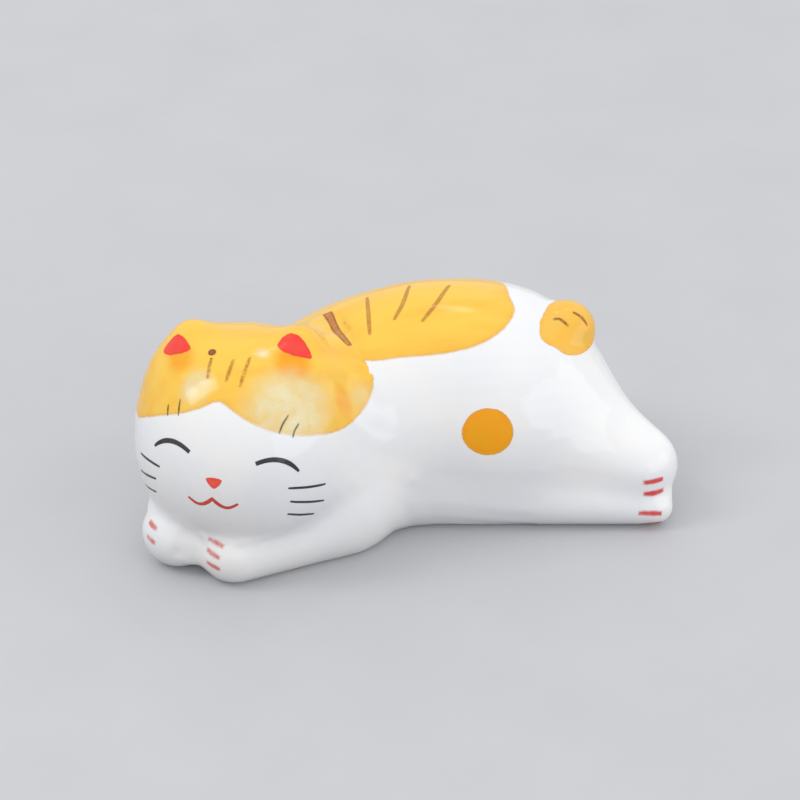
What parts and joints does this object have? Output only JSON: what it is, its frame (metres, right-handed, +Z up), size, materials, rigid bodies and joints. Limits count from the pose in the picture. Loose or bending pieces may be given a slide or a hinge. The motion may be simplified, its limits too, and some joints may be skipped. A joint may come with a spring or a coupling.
{
  "type": "chopstick rest",
  "caption": "Glazed porcelain chopstick rest shaped as a lying cat with hand-painted orange, red and black enamel; chopsticks lie in the dip between head and back.",
  "frame": {"origin": "bottom centre of the bounding box, on the table plane", "axes": "+Z up, +X along the body from the head towards the hind feet, -Y towards the cat's left side, which is the side the face turns to"},
  "size_m": [0.0638, 0.0322, 0.0278],
  "materials": {
    "glazed_porcelain": "clear gloss glaze on white porcelain",
    "orange_enamel": "glossy overglaze enamel, brushed",
    "amber_enamel": "glossy overglaze enamel, dense",
    "brown_enamel": "thin overglaze enamel brush lines",
    "red_enamel": "glossy overglaze enamel",
    "black_enamel": "thin overglaze enamel brush lines"
  },
  "bodies": {
    "root": {"torso": "glazed_porcelain", "head": "glazed_porcelain", "left_ear": "glazed_porcelain", "right_ear": "glazed_porcelain", "left_foreleg": "glazed_porcelain", "right_foreleg": "glazed_porcelain", "left_hind_leg": "glazed_porcelain", "right_hind_leg": "glazed_porcelain", "tail": "glazed_porcelain", "cap_patch": "orange_enamel", "back_patch": "orange_enamel", "tail_patch": "orange_enamel", "flank_spot": "amber_enamel", "forehead_marks": "brown_enamel", "back_stripes": "brown_enamel", "tail_marks": "brown_enamel", "left_ear_lining": "red_enamel", "right_ear_lining": "red_enamel", "nose": "red_enamel", "mouth": "red_enamel", "left_forepaw_toes": "red_enamel", "right_forepaw_toes": "red_enamel", "left_hind_paw_toes": "red_enamel", "right_hind_paw_toes": "red_enamel", "left_eye": "black_enamel", "right_eye": "black_enamel", "left_whiskers": "black_enamel", "right_whiskers": "black_enamel", "left_brow_marks": "black_enamel", "right_brow_marks": "black_enamel"}
  },
  "joints": []
}
